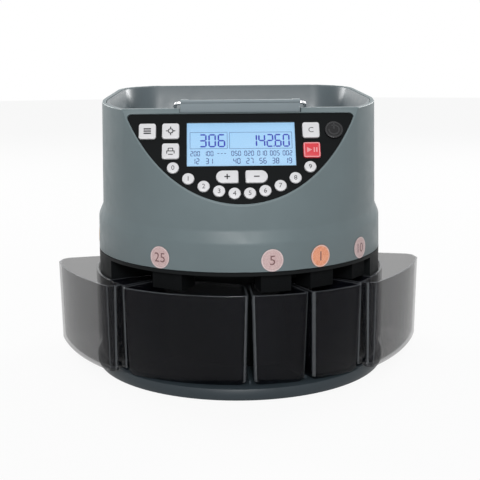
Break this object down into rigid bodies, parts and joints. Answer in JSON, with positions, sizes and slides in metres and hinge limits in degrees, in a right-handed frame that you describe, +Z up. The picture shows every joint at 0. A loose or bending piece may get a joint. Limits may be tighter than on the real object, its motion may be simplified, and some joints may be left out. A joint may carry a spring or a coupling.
{
  "type": "coin sorting machine",
  "caption": "Round-fronted desk-top coin sorting machine with an open hopper, tilted key panel with display, folding handle, and smoked coin cups round the base.",
  "frame": {"origin": "on the ground, at the middle of the bounding box seen from above", "axes": "+X to the right as seen by the user, -Y to the front where the key panel faces, +Z up"},
  "size_m": [0.3664, 0.2884, 0.267],
  "materials": {
    "housing_plastic": "moulded slate grey, fine satin",
    "base_plastic": "moulded dark slate, satin",
    "dark_plastic": "moulded near-black, satin",
    "black_plastic": "black, glossy",
    "fascia_plastic": "black film on plastic, satin",
    "keycap_plastic": "off-white, satin",
    "red_plastic": "red, smooth",
    "smoke_plastic": "smoke-tinted clear plastic",
    "window_plastic": "clear plastic",
    "display": "backlit sky blue",
    "rubber_black": "matt",
    "rubber_grey": "matt silicone",
    "steel": "brushed",
    "chromed_wire": "bright",
    "aluminium_cast": "machined",
    "brass_bush": "plain",
    "motor_paint": "satin dark",
    "board_green": "circuit board",
    "gear_plastic": "natural nylon",
    "transformer_iron": "varnished",
    "printed_film": "printed sticker"
  },
  "bodies": {
    "base": {"base_tray": "base_plastic", "rubber_feet": "rubber_black", "lower_shell": "dark_plastic", "case_screws": "steel", "deck_plate": "aluminium_cast", "sorting_rail": "aluminium_cast", "coin_chutes": "dark_plastic", "count_sensors": "board_green", "spindle_bearing": "brass_bush", "motor_bracket": "steel", "drive_motor": "motor_paint", "main_board": "board_green", "transformer": "transformer_iron", "power_inlet": "black_plastic", "switch_frame": "black_plastic", "printer_port": "steel", "hinge_lower_leaves": "steel", "hinge_pins": "steel"},
    "rocker": {"mains_rocker": "red_plastic"},
    "disc": {"sorting_disc": "aluminium_cast", "disc_spindle": "steel", "drive_gear": "gear_plastic", "disc_pad": "rubber_black", "disc_knob": "dark_plastic"},
    "motor": {"motor_pinion": "steel"},
    "housing": {"upper_shell": "housing_plastic", "hopper_bowl": "housing_plastic", "hinge_upper_leaves": "steel", "fascia_plate": "fascia_plastic", "lcd_window": "window_plastic", "lcd_module": "display", "key_board": "board_green", "dome_mat": "rubber_grey", "coin_stickers": "printed_film"},
    "handle": {"handle_wire": "chromed_wire", "handle_grip": "housing_plastic"},
    "key_0_body": {"key_0": "keycap_plastic"},
    "key_1_body": {"key_1": "keycap_plastic"},
    "key_2_body": {"key_2": "keycap_plastic"},
    "key_3_body": {"key_3": "keycap_plastic"},
    "key_4_body": {"key_4": "keycap_plastic"},
    "key_5_body": {"key_5": "keycap_plastic"},
    "key_6_body": {"key_6": "keycap_plastic"},
    "key_7_body": {"key_7": "keycap_plastic"},
    "key_8_body": {"key_8": "keycap_plastic"},
    "key_9_body": {"key_9": "keycap_plastic"},
    "key_plus_body": {"key_plus": "keycap_plastic"},
    "key_minus_body": {"key_minus": "keycap_plastic"},
    "key_clear_body": {"key_clear": "keycap_plastic"},
    "key_batch_body": {"key_batch": "keycap_plastic"},
    "key_set_body": {"key_set": "keycap_plastic"},
    "key_print_body": {"key_print": "keycap_plastic"},
    "key_start_body": {"key_start": "red_plastic"},
    "key_power_body": {"key_power": "black_plastic"},
    "cup_1_body": {"cup_1": "smoke_plastic"},
    "cup_2_body": {"cup_2": "smoke_plastic"},
    "cup_3_body": {"cup_3": "smoke_plastic"},
    "cup_4_body": {"cup_4": "smoke_plastic"},
    "cup_5_body": {"cup_5": "smoke_plastic"}
  },
  "joints": [
    {"name": "housing_hinge", "type": "hinge", "parent": "base", "child": "housing", "pos_m": [0, 0.1416, 0.1152], "axis": [-1, 0, 0], "range_deg": [0, 60]},
    {"name": "rocker_tilt", "type": "hinge", "parent": "base", "child": "rocker", "pos_m": [-0.014, 0.136, 0.038], "axis": [1, 0, 0], "range_deg": [0, 14]},
    {"name": "disc_spin", "type": "hinge", "parent": "base", "child": "disc", "pos_m": [0, 0, 0.12], "axis": [0, 0, 1], "continuous": true},
    {"name": "motor_spin", "type": "hinge", "parent": "base", "child": "motor", "pos_m": [0, 0.052, 0.1], "axis": [0, 0, 1], "continuous": true},
    {"name": "handle_fold", "type": "hinge", "parent": "housing", "child": "handle", "pos_m": [0, -0.0594, 0.24004], "axis": [-1, 0, 0], "range_deg": [0, 100]},
    {"name": "key_0_press", "type": "slide", "parent": "housing", "child": "key_0_body", "axis": [0, 0.8443, -0.5358], "range_m": [0, 0.001], "stiffness_N_per_m": 400, "springref_m": -0.0005},
    {"name": "key_1_press", "type": "slide", "parent": "housing", "child": "key_1_body", "axis": [0, 0.8443, -0.5358], "range_m": [0, 0.001], "stiffness_N_per_m": 400, "springref_m": -0.0005},
    {"name": "key_2_press", "type": "slide", "parent": "housing", "child": "key_2_body", "axis": [0, 0.8443, -0.5358], "range_m": [0, 0.001], "stiffness_N_per_m": 400, "springref_m": -0.0005},
    {"name": "key_3_press", "type": "slide", "parent": "housing", "child": "key_3_body", "axis": [0, 0.8443, -0.5358], "range_m": [0, 0.001], "stiffness_N_per_m": 400, "springref_m": -0.0005},
    {"name": "key_4_press", "type": "slide", "parent": "housing", "child": "key_4_body", "axis": [0, 0.8443, -0.5358], "range_m": [0, 0.001], "stiffness_N_per_m": 400, "springref_m": -0.0005},
    {"name": "key_5_press", "type": "slide", "parent": "housing", "child": "key_5_body", "axis": [0, 0.8443, -0.5358], "range_m": [0, 0.001], "stiffness_N_per_m": 400, "springref_m": -0.0005},
    {"name": "key_6_press", "type": "slide", "parent": "housing", "child": "key_6_body", "axis": [0, 0.8443, -0.5358], "range_m": [0, 0.001], "stiffness_N_per_m": 400, "springref_m": -0.0005},
    {"name": "key_7_press", "type": "slide", "parent": "housing", "child": "key_7_body", "axis": [0, 0.8443, -0.5358], "range_m": [0, 0.001], "stiffness_N_per_m": 400, "springref_m": -0.0005},
    {"name": "key_8_press", "type": "slide", "parent": "housing", "child": "key_8_body", "axis": [0, 0.8443, -0.5358], "range_m": [0, 0.001], "stiffness_N_per_m": 400, "springref_m": -0.0005},
    {"name": "key_9_press", "type": "slide", "parent": "housing", "child": "key_9_body", "axis": [0, 0.8443, -0.5358], "range_m": [0, 0.001], "stiffness_N_per_m": 400, "springref_m": -0.0005},
    {"name": "key_plus_press", "type": "slide", "parent": "housing", "child": "key_plus_body", "axis": [0, 0.8443, -0.5358], "range_m": [0, 0.001], "stiffness_N_per_m": 400, "springref_m": -0.0005},
    {"name": "key_minus_press", "type": "slide", "parent": "housing", "child": "key_minus_body", "axis": [0, 0.8443, -0.5358], "range_m": [0, 0.001], "stiffness_N_per_m": 400, "springref_m": -0.0005},
    {"name": "key_clear_press", "type": "slide", "parent": "housing", "child": "key_clear_body", "axis": [0, 0.8443, -0.5358], "range_m": [0, 0.001], "stiffness_N_per_m": 400, "springref_m": -0.0005},
    {"name": "key_batch_press", "type": "slide", "parent": "housing", "child": "key_batch_body", "axis": [0, 0.8443, -0.5358], "range_m": [0, 0.001], "stiffness_N_per_m": 400, "springref_m": -0.0005},
    {"name": "key_set_press", "type": "slide", "parent": "housing", "child": "key_set_body", "axis": [0, 0.8443, -0.5358], "range_m": [0, 0.001], "stiffness_N_per_m": 400, "springref_m": -0.0005},
    {"name": "key_print_press", "type": "slide", "parent": "housing", "child": "key_print_body", "axis": [0, 0.8443, -0.5358], "range_m": [0, 0.001], "stiffness_N_per_m": 400, "springref_m": -0.0005},
    {"name": "key_start_press", "type": "slide", "parent": "housing", "child": "key_start_body", "axis": [0, 0.8443, -0.5358], "range_m": [0, 0.001], "stiffness_N_per_m": 400, "springref_m": -0.0005},
    {"name": "key_power_press", "type": "slide", "parent": "housing", "child": "key_power_body", "axis": [0, 0.8443, -0.5358], "range_m": [0, 0.001], "stiffness_N_per_m": 400, "springref_m": -0.0005},
    {"name": "cup_1_pull", "type": "slide", "parent": "base", "child": "cup_1_body", "axis": [-0.808, -0.5892, 0], "range_m": [0, 0.065]},
    {"name": "cup_2_pull", "type": "slide", "parent": "base", "child": "cup_2_body", "axis": [-0.3843, -0.9232, 0], "range_m": [0, 0.065]},
    {"name": "cup_3_pull", "type": "slide", "parent": "base", "child": "cup_3_body", "axis": [0.2368, -0.9715, 0], "range_m": [0, 0.065]},
    {"name": "cup_4_pull", "type": "slide", "parent": "base", "child": "cup_4_body", "axis": [0.5948, -0.8039, 0], "range_m": [0, 0.065]},
    {"name": "cup_5_pull", "type": "slide", "parent": "base", "child": "cup_5_body", "axis": [0.81, -0.5864, 0], "range_m": [0, 0.065]}
  ],
  "couplings": [
    {"joint": "motor_spin", "follows": "disc_spin", "ratio": -3.3333}
  ]
}
